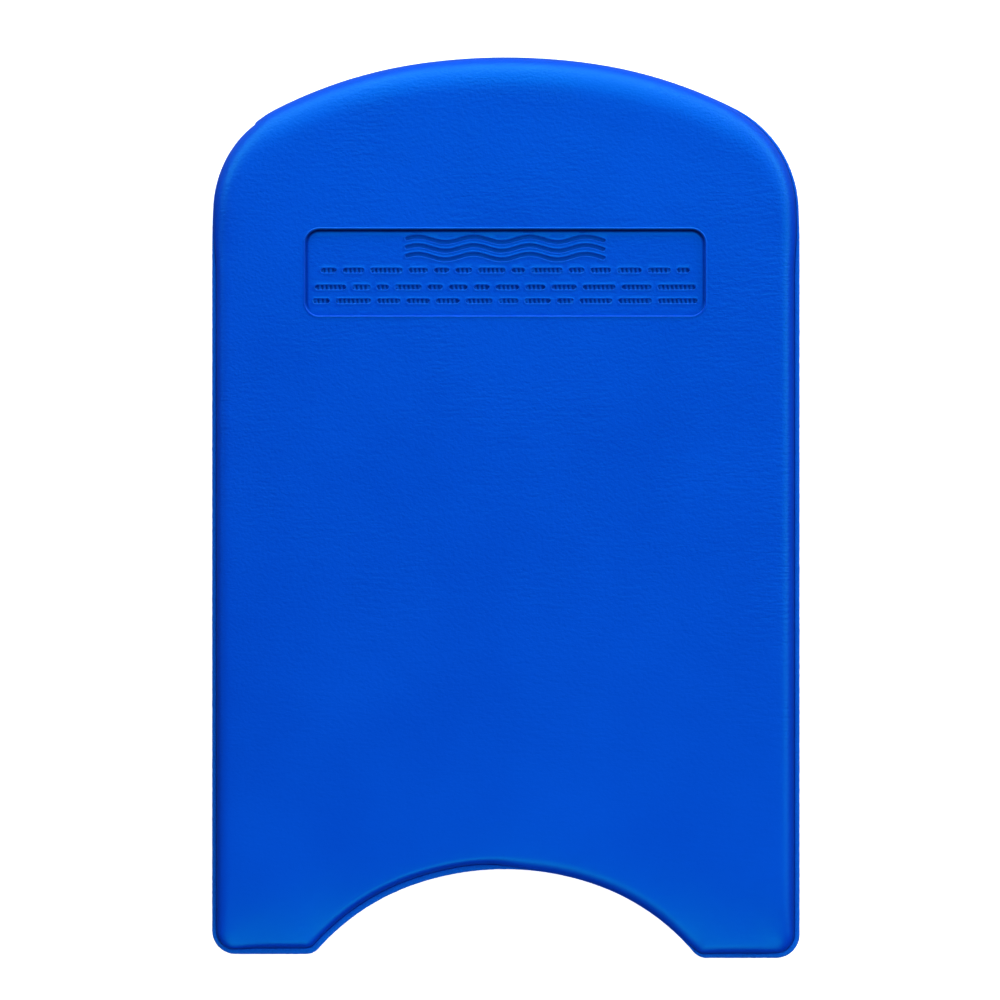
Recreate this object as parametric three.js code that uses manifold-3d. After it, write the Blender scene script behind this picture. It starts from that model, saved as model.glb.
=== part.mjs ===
// Kickboard float: a moulded foam board that a swimmer holds while kicking.
//
// Millimetres, +Z up. The board lies on its flat back. The origin is the centre of the back face, +Y runs
// towards the domed nose, +X to the right of someone who looks at the marked front face, and +Z out of it.
// Two moulded skins meet at mid-thickness, where a thin trimmed lip runs round the edge. Each skin holds
// one slab of closed-cell foam.

import * as THREE from 'three';
import { mergeVertices } from 'three/addons/utils/BufferGeometryUtils.js';
import Module from 'manifold-3d';

const wasm = await Module();
wasm.setup();

// Overall size.
const LENGTH = 460;
const WIDTH = 300;
const THICKNESS = 38;
const PARTING_HEIGHT = THICKNESS / 2;
const GLUE_GAP = 0.3; // between pieces that touch

// Outline. Angles are in degrees from +Y towards the side, where one tangent arc hands over to the next.
const CROWN = { radius: 311, end: 8, steps: 3 };
const CHEEK = { end: 27, steps: 6 };
const SHOULDER = { radius: 59, end: 87, steps: 11 };
const FLANK = { radius: 400, end: 90, steps: 1 };
const SHORT_LEG = 2; // how much shorter the left leg is
const OUTER_LEG_CORNER = { radius: 12, steps: 6 };
const INNER_LEG_CORNER = { radius: 9, steps: 5 };

// Arc between the legs, hollow towards the rear. Its middle lies a little to the left.
const ARC_CENTRE = -0.7;
const ARC_TOP = -184.7;
const ARC_MIDDLE = { radius: 140, end: 20, steps: 5 };
const ARC_SIDE = { radius: 116, steps: 8 };

// Trimmed lip at the parting line, measured outwards from the moulded wall.
const LIP_HEIGHT = 3;
const LIP = { side: 2.4, nose: 0.5, rear: 2.8 };

// Moulded edge: how far each stretch of it curls in between the wall and the flat face.
const EDGE_CURL = { side: 8, nose: 15, rear: 4 };
const EDGE_CURL_HEIGHT = 13;
const EDGE_CURL_STEPS = 4;

// Skins and cores.
const SKIN = 4;
const CORE_EDGE_STEPS = 2;

// Recessed panel near the nose, and the marks pressed into its floor.
const PANEL = { width: 204.4, height: 44.6, radius: 7.5, depth: 1.6, centreX: -0.4, centreY: 119.8 };
const PANEL_CORNER_STEPS = 4;
const MARK_DEPTH = 0.8;
const CUTTER_RISE = 2; // how far a cutter stands above the face
const WAVE = { length: 100, width: 2.2, swing: 1.4, periods: 3.5, periodSteps: 8 };
const WAVE_ROWS = [136.6, 132.2, 127.8];
const BARS = { height: 2.6, radius: 1.2, cornerSteps: 2, gap: 3.2, shortest: 6, longest: 21 };
const BAR_ROWS = [
  { y: 120.9, length: 188 },
  { y: 112.3, length: 194 },
  { y: 105.3, length: 196 },
];
const BAR_MIX = { start: 0.37, rowStep: 0.21, factor: 7.31, shift: 0.417 };

const MERGE_DISTANCE = 1e-4;

const degrees = THREE.MathUtils.degToRad;

// ---- Outline --------------------------------------------------------------------------------------------

// Points on an arc, from one angle to another. Angles are in degrees from +Y towards +X.
function arcPoints(centre, radius, from, to, steps) {
  const curve = new THREE.EllipseCurve(
    centre.x, centre.y, radius, radius, degrees(90 - from), degrees(90 - to), from < to,
  );
  return curve.getPoints(steps);
}

function onArc(centre, radius, angle) {
  const direction = new THREE.Vector2(Math.sin(degrees(angle)), Math.cos(degrees(angle)));
  return direction.multiplyScalar(radius).add(centre);
}

// The nose from its tip to the start of the straight side, as tangent arcs. The cheek's radius is the one
// that makes the arcs end at the half width.
function nosePoints(inset) {
  const crown = CROWN.radius - inset.nose;
  const shoulder = SHOULDER.radius - inset.side;
  const flank = FLANK.radius - inset.side;
  const sine = (angle) => Math.sin(degrees(angle));
  const otherArcs = crown * sine(CROWN.end)
    + shoulder * (sine(SHOULDER.end) - sine(CHEEK.end))
    + flank * (1 - sine(SHOULDER.end));
  const cheek = (WIDTH / 2 - inset.side - otherArcs) / (sine(CHEEK.end) - sine(CROWN.end));
  const arcs = [
    { radius: crown, end: CROWN.end, steps: CROWN.steps },
    { radius: cheek, end: CHEEK.end, steps: CHEEK.steps },
    { radius: shoulder, end: SHOULDER.end, steps: SHOULDER.steps },
    { radius: flank, end: FLANK.end, steps: FLANK.steps },
  ];
  const points = [];
  let start = 0;
  let centre = new THREE.Vector2(0, LENGTH / 2 - inset.nose - crown);
  for (const arc of arcs) {
    points.push(...arcPoints(centre, arc.radius, start, arc.end, arc.steps).slice(start === 0 ? 0 : 1));
    const next = arcs[arcs.indexOf(arc) + 1];
    if (next) {
      centre = onArc(centre, arc.radius - next.radius, arc.end);
    }
    start = arc.end;
  }
  return points;
}

// One leg and its half of the arc, from the outer corner to the middle of the arc.
function legPoints(inset, legEnd, arcCentre) {
  const outer = Math.max(OUTER_LEG_CORNER.radius - inset.rear, 1);
  const inner = Math.max(INNER_LEG_CORNER.radius - inset.rear, 0.6);
  const middle = ARC_MIDDLE.radius + inset.rear;
  const side = ARC_SIDE.radius + inset.rear;
  const endLine = legEnd + inset.rear;
  const outerCentre = new THREE.Vector2(WIDTH / 2 - inset.side - outer, endLine + outer);
  const middleCentre = new THREE.Vector2(arcCentre, ARC_TOP - ARC_MIDDLE.radius);
  const sideCentre = onArc(middleCentre, ARC_MIDDLE.radius - ARC_SIDE.radius, ARC_MIDDLE.end);
  const innerRise = endLine + inner - sideCentre.y;
  const innerCentre = new THREE.Vector2(
    sideCentre.x + Math.sqrt((side + inner) ** 2 - innerRise ** 2), endLine + inner,
  );
  const sideEnd = THREE.MathUtils.radToDeg(Math.acos(innerRise / (side + inner)));
  return [
    ...arcPoints(outerCentre, outer, 90, 180, OUTER_LEG_CORNER.steps),
    ...arcPoints(innerCentre, inner, 180, 180 + sideEnd, INNER_LEG_CORNER.steps),
    ...arcPoints(sideCentre, side, sideEnd, ARC_MIDDLE.end, ARC_SIDE.steps).slice(1),
    ...arcPoints(middleCentre, middle, ARC_MIDDLE.end, 0, ARC_MIDDLE.steps).slice(1),
  ];
}

// The closed outline, anticlockwise, moved inwards by its own distance at the sides, nose and rear.
// Outlines with different insets have the same number of points, each in step with the others.
function boardOutline(inset) {
  const half = (legEnd, arcCentre) => [...nosePoints(inset), ...legPoints(inset, legEnd, arcCentre)];
  const right = half(-LENGTH / 2, ARC_CENTRE);
  const mirrored = half(-LENGTH / 2 + SHORT_LEG, -ARC_CENTRE);
  const left = mirrored.map((point) => new THREE.Vector2(-point.x, point.y));
  return [...left, ...right.slice(1, -1).reverse()];
}

function evenInset(distance) {
  return { side: distance, nose: distance, rear: distance };
}

function addInsets(first, second, share = 1) {
  return {
    side: first.side + second.side * share,
    nose: first.nose + second.nose * share,
    rear: first.rear + second.rear * share,
  };
}

// ---- Closed solids --------------------------------------------------------------------------------------

// Collects triangles. Heights are measured from the parting line outwards, so that one recipe makes the
// front half and, turned over, the back half.
class Surface {
  constructor() {
    this.positions = [];
  }

  triangle(a, b, c) {
    for (const point of [a, b, c]) {
      this.positions.push(point.x, point.y, point.z);
    }
  }

  // The band between two rings in step with each other. It faces outwards where the second anticlockwise
  // ring is above the first, and inwards where it is below.
  wall(lower, upper) {
    lower.forEach((point, index) => {
      const following = (index + 1) % lower.length;
      this.triangle(point, lower[following], upper[following]);
      this.triangle(point, upper[following], upper[index]);
    });
  }

  walls(rings) {
    rings.slice(1).forEach((ring, index) => this.wall(rings[index], ring));
  }

  // A flat face inside a ring, with holes, facing up or down.
  face(ring, holes, facesUp) {
    const flat = (points) => points.map((point) => new THREE.Vector2(point.x, point.y));
    const corners = [ring, ...holes].flat();
    for (const [a, b, c] of THREE.ShapeUtils.triangulateShape(flat(ring), holes.map(flat))) {
      const area = THREE.ShapeUtils.area(flat([corners[a], corners[b], corners[c]]));
      const [second, third] = (area > 0) === facesUp ? [b, c] : [c, b];
      this.triangle(corners[a], corners[second], corners[third]);
    }
  }

  geometry() {
    const geometry = new THREE.BufferGeometry();
    geometry.setAttribute('position', new THREE.Float32BufferAttribute(this.positions, 3));
    const merged = mergeVertices(geometry, MERGE_DISTANCE);
    merged.computeVertexNormals();
    return merged;
  }
}

function ringAt(points, height) {
  return points.map((point) => new THREE.Vector3(point.x, point.y, height));
}

// The curled edge, from the top of the upright wall to the rim of the flat face, as rings.
function edgeRings(baseInset, curl, bottom, top, steps) {
  const rings = [];
  for (let step = 0; step <= steps; step += 1) {
    const angle = degrees(90 * step / steps);
    const inset = addInsets(baseInset, curl, 1 - Math.cos(angle));
    rings.push(ringAt(boardOutline(inset), bottom + (top - bottom) * Math.sin(angle)));
  }
  return rings;
}

// One moulded skin, from the parting line to its face: the lip, the wall, the curled edge, the face, and
// the hollow for the core.
function skinGeometry() {
  const parting = GLUE_GAP / 2;
  const lipTop = LIP_HEIGHT / 2;
  const faceHeight = THICKNESS / 2;
  const edgeBottom = faceHeight - EDGE_CURL_HEIGHT;
  const surface = new Surface();

  const outline = boardOutline(evenInset(0));
  const lipEdge = ringAt(outline, parting);
  const edge = edgeRings(LIP, EDGE_CURL, edgeBottom, faceHeight, EDGE_CURL_STEPS);
  surface.walls([lipEdge, ringAt(outline, lipTop), ringAt(boardOutline(LIP), lipTop), ...edge]);
  surface.face(edge.at(-1), [], true);

  const hollow = coreRings(SKIN, parting, faceHeight - SKIN);
  surface.walls(hollow.map((ring) => [...ring].reverse()));
  surface.face(hollow.at(-1), [], false);
  surface.face(lipEdge, [hollow[0]], false);
  return surface.geometry();
}

// The rings of a core, or of the hollow that holds it, a given distance inside the skin's wall.
function coreRings(distance, bottom, top) {
  const base = addInsets(evenInset(distance), LIP);
  const edgeBottom = THICKNESS / 2 - EDGE_CURL_HEIGHT;
  return [
    ringAt(boardOutline(base), bottom),
    ...edgeRings(base, EDGE_CURL, edgeBottom, top, CORE_EDGE_STEPS),
  ];
}

// One slab of the buoyant core. It fills its skin's hollow up to the parting line.
function coreGeometry() {
  const surface = new Surface();
  const rings = coreRings(SKIN + GLUE_GAP, GLUE_GAP / 2, THICKNESS / 2 - SKIN - GLUE_GAP);
  surface.walls(rings);
  surface.face(rings[0], [], false);
  surface.face(rings.at(-1), [], true);
  return surface.geometry();
}

// ---- Recessed panel and its marks -----------------------------------------------------------------------

function roundedRectangle(centreX, centreY, width, height, radius, steps) {
  const x = width / 2 - radius;
  const y = height / 2 - radius;
  const corner = (signX, signY, from) => arcPoints(
    new THREE.Vector2(centreX + signX * x, centreY + signY * y), radius, from, from - 90, steps,
  );
  return [...corner(1, 1, 90), ...corner(-1, 1, 0), ...corner(-1, -1, -90), ...corner(1, -1, -180)];
}

// A wavy band along X with square ends, across the middle of the panel.
function waveOutline(centreY) {
  const steps = WAVE.periods * WAVE.periodSteps;
  const lower = [];
  const upper = [];
  for (let step = 0; step <= steps; step += 1) {
    const x = PANEL.centreX + WAVE.length * (step / steps - 0.5);
    const y = centreY + WAVE.swing * Math.sin(2 * Math.PI * (step + 0.5) / WAVE.periodSteps);
    lower.push(new THREE.Vector2(x, y - WAVE.width / 2));
    upper.push(new THREE.Vector2(x, y + WAVE.width / 2));
  }
  return [...lower, ...upper.reverse()];
}

// Bars of mixed lengths that fill a row from end to end. A short repeatable sequence mixes the lengths.
function barOutlines(row, rowIndex) {
  const lengths = [];
  let used = -BARS.gap;
  let mix = BAR_MIX.start + BAR_MIX.rowStep * rowIndex;
  while (used + BARS.gap + BARS.shortest < row.length) {
    mix = (mix * BAR_MIX.factor + BAR_MIX.shift) % 1;
    const length = THREE.MathUtils.lerp(BARS.shortest, BARS.longest, mix);
    lengths.push(length);
    used += length + BARS.gap;
  }
  const gaps = BARS.gap * (lengths.length - 1);
  const fit = (row.length - gaps) / (used - gaps);
  let x = PANEL.centreX - row.length / 2;
  return lengths.map((length) => {
    const width = length * fit;
    const outline = roundedRectangle(
      x + width / 2, row.y, width, BARS.height, BARS.radius, BARS.cornerSteps,
    );
    x += width + BARS.gap;
    return outline;
  });
}

function panelOutline() {
  const { width, height, radius, centreX, centreY } = PANEL;
  return roundedRectangle(centreX, centreY, width, height, radius, PANEL_CORNER_STEPS);
}

function markOutlines() {
  return [...WAVE_ROWS.map(waveOutline), ...BAR_ROWS.flatMap(barOutlines)];
}

// A cutter whose bottom lies a given depth under the front face.
function cutter(outline, depth) {
  const height = depth + CUTTER_RISE;
  const options = { depth: height, bevelEnabled: false };
  const geometry = new THREE.ExtrudeGeometry(new THREE.Shape(outline), options);
  geometry.translate(0, 0, THICKNESS / 2 - depth);
  return toSolid(geometry);
}

function toSolid(geometry) {
  const bare = geometry.clone().deleteAttribute('normal').deleteAttribute('uv');
  const merged = mergeVertices(bare, MERGE_DISTANCE);
  return new wasm.Manifold(new wasm.Mesh({
    numProp: 3,
    vertProperties: merged.getAttribute('position').array,
    triVerts: new Uint32Array(merged.getIndex().array),
  }));
}

function toGeometry(solid) {
  const mesh = solid.getMesh();
  const geometry = new THREE.BufferGeometry();
  geometry.setAttribute('position', new THREE.BufferAttribute(mesh.vertProperties, 3));
  geometry.setIndex(new THREE.BufferAttribute(mesh.triVerts, 1));
  geometry.computeVertexNormals();
  return geometry;
}

// The front skin is the plain skin with the panel sunk into its face and the marks into the panel's floor.
function frontSkinGeometry() {
  const cutters = [
    cutter(panelOutline(), PANEL.depth),
    ...markOutlines().map((outline) => cutter(outline, PANEL.depth + MARK_DEPTH)),
  ];
  return toGeometry(cutters.reduce((solid, tool) => solid.subtract(tool), toSolid(skinGeometry())));
}

// ---- Assembly -------------------------------------------------------------------------------------------

const skinMaterial = new THREE.MeshStandardMaterial({ color: 0x0253d2, roughness: 0.55, metalness: 0 });
const coreMaterial = new THREE.MeshStandardMaterial({ color: 0x1f63c4, roughness: 0.9, metalness: 0 });

function piece(name, geometry, material) {
  const mesh = new THREE.Mesh(geometry, material);
  mesh.name = name;
  return mesh;
}

// Turns a piece over through the parting line, keeping the nose at the front and the short leg on the left.
function turnedOver(geometry) {
  const turned = geometry.clone().scale(1, 1, -1);
  const index = turned.getIndex();
  for (let corner = 0; corner < index.count; corner += 3) {
    const second = index.getX(corner + 1);
    index.setX(corner + 1, index.getX(corner + 2));
    index.setX(corner + 2, second);
  }
  turned.computeVertexNormals();
  return turned;
}

const kickboard = new THREE.Group();
kickboard.position.z = PARTING_HEIGHT;
kickboard.add(
  piece('front_skin', frontSkinGeometry(), skinMaterial),
  piece('back_skin', turnedOver(skinGeometry()), skinMaterial),
  piece('front_core', coreGeometry(), coreMaterial),
  piece('back_core', turnedOver(coreGeometry()), coreMaterial),
);

export default kickboard;
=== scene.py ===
import math

import bpy
import numpy as np
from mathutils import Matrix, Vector
from mathutils.geometry import delaunay_2d_cdt


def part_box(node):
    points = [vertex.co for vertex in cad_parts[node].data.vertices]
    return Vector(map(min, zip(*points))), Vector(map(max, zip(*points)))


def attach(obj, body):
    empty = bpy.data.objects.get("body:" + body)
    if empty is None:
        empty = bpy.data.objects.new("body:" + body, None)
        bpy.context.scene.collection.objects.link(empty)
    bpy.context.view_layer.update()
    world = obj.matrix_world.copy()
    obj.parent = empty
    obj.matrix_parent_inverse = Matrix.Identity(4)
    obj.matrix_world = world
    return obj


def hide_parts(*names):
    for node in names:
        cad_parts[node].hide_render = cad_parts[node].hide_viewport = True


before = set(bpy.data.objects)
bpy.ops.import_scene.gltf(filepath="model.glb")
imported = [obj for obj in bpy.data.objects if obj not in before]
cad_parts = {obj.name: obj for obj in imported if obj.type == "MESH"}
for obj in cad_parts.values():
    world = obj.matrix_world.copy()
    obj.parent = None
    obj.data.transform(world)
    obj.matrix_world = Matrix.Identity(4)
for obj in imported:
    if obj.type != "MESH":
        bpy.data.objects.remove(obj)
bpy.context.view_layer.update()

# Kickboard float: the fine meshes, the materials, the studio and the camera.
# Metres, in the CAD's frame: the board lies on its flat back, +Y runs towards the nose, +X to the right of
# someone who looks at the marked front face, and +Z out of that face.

MM = 0.001

# ---- Sizes from the frame -------------------------------------------------------------------------------

FRONT_LOW, FRONT_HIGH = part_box("front_skin")
BACK_LOW, BACK_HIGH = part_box("back_skin")
HALF_WIDTH = FRONT_HIGH[0]
NOSE_Y = FRONT_HIGH[1]
LEG_Y = FRONT_LOW[1]
PARTING_Z = (FRONT_LOW[2] + BACK_HIGH[2]) / 2
GLUE_GAP = FRONT_LOW[2] - BACK_HIGH[2]
FACE_RISE = FRONT_HIGH[2] - PARTING_Z

# The hollow is the core with a gap round it.
CORE_LOW, CORE_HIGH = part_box("front_core")
HOLLOW_SIDE = HALF_WIDTH - CORE_HIGH[0] - GLUE_GAP
HOLLOW_NOSE = NOSE_Y - CORE_HIGH[1] - GLUE_GAP
HOLLOW_REAR = CORE_LOW[1] - LEG_Y - GLUE_GAP
HOLLOW_RISE = CORE_HIGH[2] - PARTING_Z + GLUE_GAP

# ---- Sizes of the outline -------------------------------------------------------------------------------

# As the CAD draws it: tangent arcs, with angles in degrees from +Y towards the side.
CROWN_RADIUS, CROWN_END = 311 * MM, 8
CHEEK_END = 27
SHOULDER_RADIUS, SHOULDER_END = 59 * MM, 87
FLANK_RADIUS, FLANK_END = 400 * MM, 90
SHORT_LEG = 2 * MM  # how much shorter the left leg is
OUTER_CORNER, INNER_CORNER = 12 * MM, 9 * MM
ARC_TOP = (-0.7 * MM, -184.7 * MM)
ARC_MIDDLE_RADIUS, ARC_MIDDLE_END = 140 * MM, 20
ARC_SIDE_RADIUS = 116 * MM

# Points on each stretch of half an outline, about 1.5 mm apart.
CROWN_POINTS, CHEEK_POINTS, SHOULDER_POINTS, FLANK_POINTS = 29, 52, 46, 14
SIDE_POINTS, OUTER_POINTS, LEG_POINTS, INNER_POINTS = 234, 16, 20, 14
ARC_SIDE_POINTS, ARC_MIDDLE_POINTS = 44, 33

# ---- Sizes of the edge ----------------------------------------------------------------------------------

# A skin's two materials, by number.
MOULDED, CUT = 0, 1

# Trimmed lip. The trim is slightly off centre, so the lip's width differs from stretch to stretch.
LIP_TOP = 1.5 * MM
LIP_WIDTH = {"nose": 0.4 * MM, "left shoulder": 0.5 * MM, "right shoulder": 1.5 * MM, "left side": 2.3 * MM,
             "right side": 2.9 * MM, "left leg": 3.5 * MM, "right leg": 2.6 * MM, "left arc": 3.4 * MM,
             "right arc": 0.4 * MM}
LIP_BLEND = 14 * MM

# The lip's rows, as (share of its width in from the edge, height above the parting line).
LIP_ROWS = ((0, GLUE_GAP / 2), (0, 0.5 * MM), (0.02, 0.85 * MM), (0.08, 1.15 * MM),
            (0.2, LIP_TOP - 0.12 * MM), (0.4, LIP_TOP), (0.74, LIP_TOP))

# Each row of the lip wanders in and out in its own way, with waves of those lengths.
LIP_WANDER = 0.10 * MM
LIP_WAVES = (3 * MM, 40 * MM)

# The groove inside the lip, as (share of the lip's width, depth, share of painted shade), down to its floor
# at the foot of the wall, where shade is painted darkest. It and the lip's wander fade where the lip is
# narrower than
# GROOVE_FULL.
GROOVE_ROWS = ((0.84, 0.1 * MM, 0.3), (0.92, 0.6 * MM, 0.7))
GROOVE_DEPTH, GROOVE_PAINTED_SHADE = 0.6 * MM, 0.7
GROOVE_FULL = 1.5 * MM

# The wall above the groove, as (height above the lip's top, material, share of painted shade).
WALL_ROWS = ((1 * MM, CUT, 0.6), (2.6 * MM, MOULDED, 0.3))

# The trim also has one small step on the left shoulder, which fades out along the edge. The wall behind it
# is dented softly.
TRIM_STEP_PLACE = (-127 * MM, 197 * MM)
TRIM_STEP, TRIM_STEP_LENGTH, TRIM_FADE = 0.75 * MM, 1.6 * MM, 9 * MM
STEP_BLEND = 8 * MM

# Moulded edge: how far in it curls over to the face. The fine mesh curls 2 mm further at the nose.
CURL = {"nose": 15 * MM, "side": 8 * MM, "rear": 4 * MM}
CURL_BOTTOM = 6 * MM
CURL_STEPS = 14
NOSE_RIM = 17 * MM
RIM_OUTER_CORNER, RIM_INNER_CORNER = 7 * MM, 4 * MM

# How squarely each stretch of the edge curls: 2 is an ellipse, and more is squarer.
CURL_FULLNESS = {"nose": 2.25, "shoulder": 2.4, "left side": 3.2, "right side": 2.6, "leg": 2.2, "arc": 2.5}

# How far the face sinks at each kind of edge, and how far in from the edge it starts to.
SINK = {"nose": (0.8 * MM, 30 * MM), "shoulder": (0.8 * MM, 30 * MM), "left side": (1.7 * MM, 65 * MM),
        "right side": (1.8 * MM, 30 * MM), "leg": (4.2 * MM, 60 * MM), "arc": (1.6 * MM, 45 * MM)}

# Hollow.
HOLLOW_OUTER_CORNER, HOLLOW_INNER_CORNER = 1 * MM, 0.6 * MM
HOLLOW_STEPS = 2

# ---- Sizes of the panel and its marks -------------------------------------------------------------------

# As the CAD draws them.
PANEL_SIZE = (204.4 * MM, 44.6 * MM)
PANEL_RADIUS = 7.5 * MM
PANEL_CENTRE = (-0.4 * MM, 119.8 * MM)
PANEL_DEPTH = 1.6 * MM
MARK_DEPTH = 0.8 * MM
WAVE_LENGTH, WAVE_WIDTH, WAVE_SWING, WAVE_PERIODS = 100 * MM, 2.2 * MM, 1.4 * MM, 3.5
WAVE_START = 1 / 16  # of a period
WAVE_STEP = 0.8 * MM
WAVE_ROWS = (136.6 * MM, 132.2 * MM, 127.8 * MM)
BAR_HEIGHT, BAR_GAP, BAR_SHORTEST, BAR_LONGEST = 2.6 * MM, 3.2 * MM, 6 * MM, 21 * MM
BAR_ROWS = ((120.9 * MM, 188 * MM), (112.3 * MM, 194 * MM), (105.3 * MM, 196 * MM))
BAR_MIX_START, BAR_MIX_ROW, BAR_MIX_FACTOR, BAR_MIX_SHIFT = 0.37, 0.21, 7.31, 0.417

# Their relief. A wall runs between two distances outside an outline, and a bead, a foot or the ridge of
# painted shade has its crest at one distance and half a width.
PANEL_WALL = (-0.45 * MM, 0.05 * MM)
PANEL_FOOT, PANEL_FOOT_HALF, PANEL_FOOT_DEPTH = -0.85 * MM, 0.8 * MM, 1.3 * MM
PANEL_BEAD, PANEL_BEAD_HALF, PANEL_BEAD_RISE = 0.28 * MM, 0.45 * MM, 0.42 * MM
MARK_WALL = (-0.32 * MM, 0.05 * MM)
MARK_BEAD, MARK_BEAD_HALF, MARK_BEAD_RISE = 0.25 * MM, 0.4 * MM, 0.18 * MM
MARK_REACH = 2 * MM  # no relief is wider than this outside a mark
HATCH_PITCH, HATCH_SLANT, HATCH_DEPTH = 2.2 * MM, 0.9, 0.5 * MM

# Their painted shade: a darker colour where shade falls, in the marks and along the foot of the panel's wall.
# The panel's is a ridge, given as its crest, its half width and the share of the way from its edge to its
# crest where it is darkest.
PANEL_PAINTED_SHADE, PANEL_PAINTED_SHADE_HALF, PANEL_PAINTED_SHADE_FULL = -0.75 * MM, 0.95 * MM, 0.6
BAR_PAINTED_SHADE, WAVE_PAINTED_SHADE = 0.65, 0.45

# The fold at the foot of the panel's wall, which also carries painted shade: its share at the sides, how much
# it gains towards the nose, and how nearly a wall may face the rear before it has none. The shade is painted
# deepest under the wall on the nose's side, where the lamps on that side cast shadow.
FOLD_AT_SIDES, FOLD_GAIN, FOLD_END = 0.45, 0.55, -0.8
SLOPE_STEP = 0.1 * MM

# The faint unevenness of the faces: a sum of waves, with lengths in millimetres.
SWELL_DEPTH = 0.12 * MM
SWELL_WAVES = 24
SWELL_LENGTHS = (60, 220)
SWELL_PEAK = 8
SWELL_FADE = 15 * MM

# ---- Spacing of the points inside the faces -------------------------------------------------------------

# A coarse grid covers the faces and a fine one the panel. Both keep clear of what has rings of its own.
FACE_STEP = 3 * MM
FACE_MARGIN = FACE_STEP * 0.7
PANEL_STEP = 1.5 * MM
COARSE_TO_PANEL = 5 * MM
FINE_TO_PANEL = 2.7 * MM
FINE_TO_MARK = 1.1 * MM

# Rings of points round the panel and each mark, in millimetres outside its outline.
PANEL_RINGS = (3.6, 2.4, 1.6, 1.1, 0.75, 0.6, 0.45, 0.32, 0.18, 0.06, -0.08, -0.2, -0.32, -0.45, -0.6,
               -0.75, -0.95, -1.15, -1.45, -2.1)
PANEL_CORNER_POINTS = 12
MARK_RINGS = (0.66, 0.42, 0.25, 0.06, -0.1, -0.22, -0.34)
MARK_STEP = 0.45 * MM

# Points on a bar's ribs.
HATCH_ROWS, POINTS_TO_A_RIB = 4, 4
HATCH_ROW_INSET, HATCH_INSET = 0.45 * MM, 0.42 * MM


# ---- Outlines -------------------------------------------------------------------------------------------

def arc(centre, radius, start, end, count):
    """Points on an arc, both ends included. Angles are in degrees from +Y towards +X."""
    angles = np.radians(np.linspace(start, end, count))
    return np.asarray(centre) + radius * np.stack([np.sin(angles), np.cos(angles)], axis=1)


def on_arc(centre, radius, angle):
    return arc(centre, radius, angle, angle, 1)[0]


def sine(angle):
    return math.sin(math.radians(angle))


def nose_stretches(nose, side):
    """Half the nose, from its tip to the straight side, moved in by those distances."""
    crown = CROWN_RADIUS - nose
    shoulder = SHOULDER_RADIUS - side
    flank = FLANK_RADIUS - side
    others = (crown * sine(CROWN_END) + shoulder * (sine(SHOULDER_END) - sine(CHEEK_END))
              + flank * (sine(FLANK_END) - sine(SHOULDER_END)))
    cheek = (HALF_WIDTH - side - others) / (sine(CHEEK_END) - sine(CROWN_END))
    plan = (
        ("nose", crown, CROWN_END, CROWN_POINTS),
        ("nose", cheek, CHEEK_END, CHEEK_POINTS),
        ("shoulder", shoulder, SHOULDER_END, SHOULDER_POINTS),
        ("shoulder", flank, FLANK_END, FLANK_POINTS),
    )
    stretches = []
    start = 0
    centre = np.array([0, NOSE_Y - nose - crown])
    for index, (name, radius, end, count) in enumerate(plan):
        points = arc(centre, radius, start, end, count)
        stretches.append((name, points if index == 0 else points[1:]))
        if index + 1 < len(plan):
            centre = on_arc(centre, radius - plan[index + 1][1], end)
        start = end
    return stretches


def rear_stretches(nose_end, side, rear, leg_end, arc_x, outer, inner):
    """One side, one leg and half of the arc between the legs, moved in by those distances."""
    middle_radius = ARC_MIDDLE_RADIUS + rear
    side_radius = ARC_SIDE_RADIUS + rear
    end_y = leg_end + rear
    outer_centre = np.array([HALF_WIDTH - side - outer, end_y + outer])
    middle_centre = np.array([arc_x, ARC_TOP[1] - ARC_MIDDLE_RADIUS])
    side_centre = on_arc(middle_centre, ARC_MIDDLE_RADIUS - ARC_SIDE_RADIUS, ARC_MIDDLE_END)
    rise = end_y + inner - side_centre[1]
    reach = math.sqrt((side_radius + inner) ** 2 - rise ** 2)
    inner_centre = np.array([side_centre[0] + reach, end_y + inner])
    side_end = math.degrees(math.acos(rise / (side_radius + inner)))
    outer_arc = arc(outer_centre, outer, 90, 180, OUTER_POINTS)
    inner_arc = arc(inner_centre, inner, 180, 180 + side_end, INNER_POINTS)
    return [
        ("side", np.linspace(nose_end, outer_arc[0], SIDE_POINTS)[1:-1]),
        ("side", outer_arc),
        ("leg", np.linspace(outer_arc[-1], inner_arc[0], LEG_POINTS)[1:-1]),
        ("leg", inner_arc),
        ("arc", arc(side_centre, side_radius, side_end, ARC_MIDDLE_END, ARC_SIDE_POINTS)[1:]),
        ("arc", arc(middle_centre, middle_radius, ARC_MIDDLE_END, 0, ARC_MIDDLE_POINTS)[1:]),
    ]


def outline(nose=0.0, left=0.0, right=0.0, rear=0.0, outer=OUTER_CORNER, inner=INNER_CORNER):
    """The closed outline, anticlockwise, moved in by those distances, and the name of each point's stretch.

    Outlines with different insets have the same number of points, each in step with the others.
    """
    halves = []
    plan = (("left", left, LEG_Y + SHORT_LEG, -ARC_TOP[0]), ("right", right, LEG_Y, ARC_TOP[0]))
    for name, side, leg_end, arc_x in plan:
        stretches = nose_stretches(nose, side)
        nose_end = stretches[-1][1][-1]
        stretches += rear_stretches(nose_end, side, rear, leg_end, arc_x, outer, inner)
        points = np.concatenate([points for _, points in stretches])
        names = [part if part == "nose" else f"{name} {part}" for part, points in stretches for _ in points]
        halves.append((points, names))
    (left_points, left_names), (right_points, right_names) = halves
    points = np.concatenate([left_points * (-1, 1), right_points[-2:0:-1]])
    return points, left_names + right_names[-2:0:-1]


def inward_normals(points):
    """The unit normals of a closed anticlockwise outline, pointing inwards."""
    along = np.roll(points, -1, axis=0) - np.roll(points, 1, axis=0)
    along /= np.linalg.norm(along, axis=1, keepdims=True)
    return np.stack([-along[:, 1], along[:, 0]], axis=1)


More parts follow.
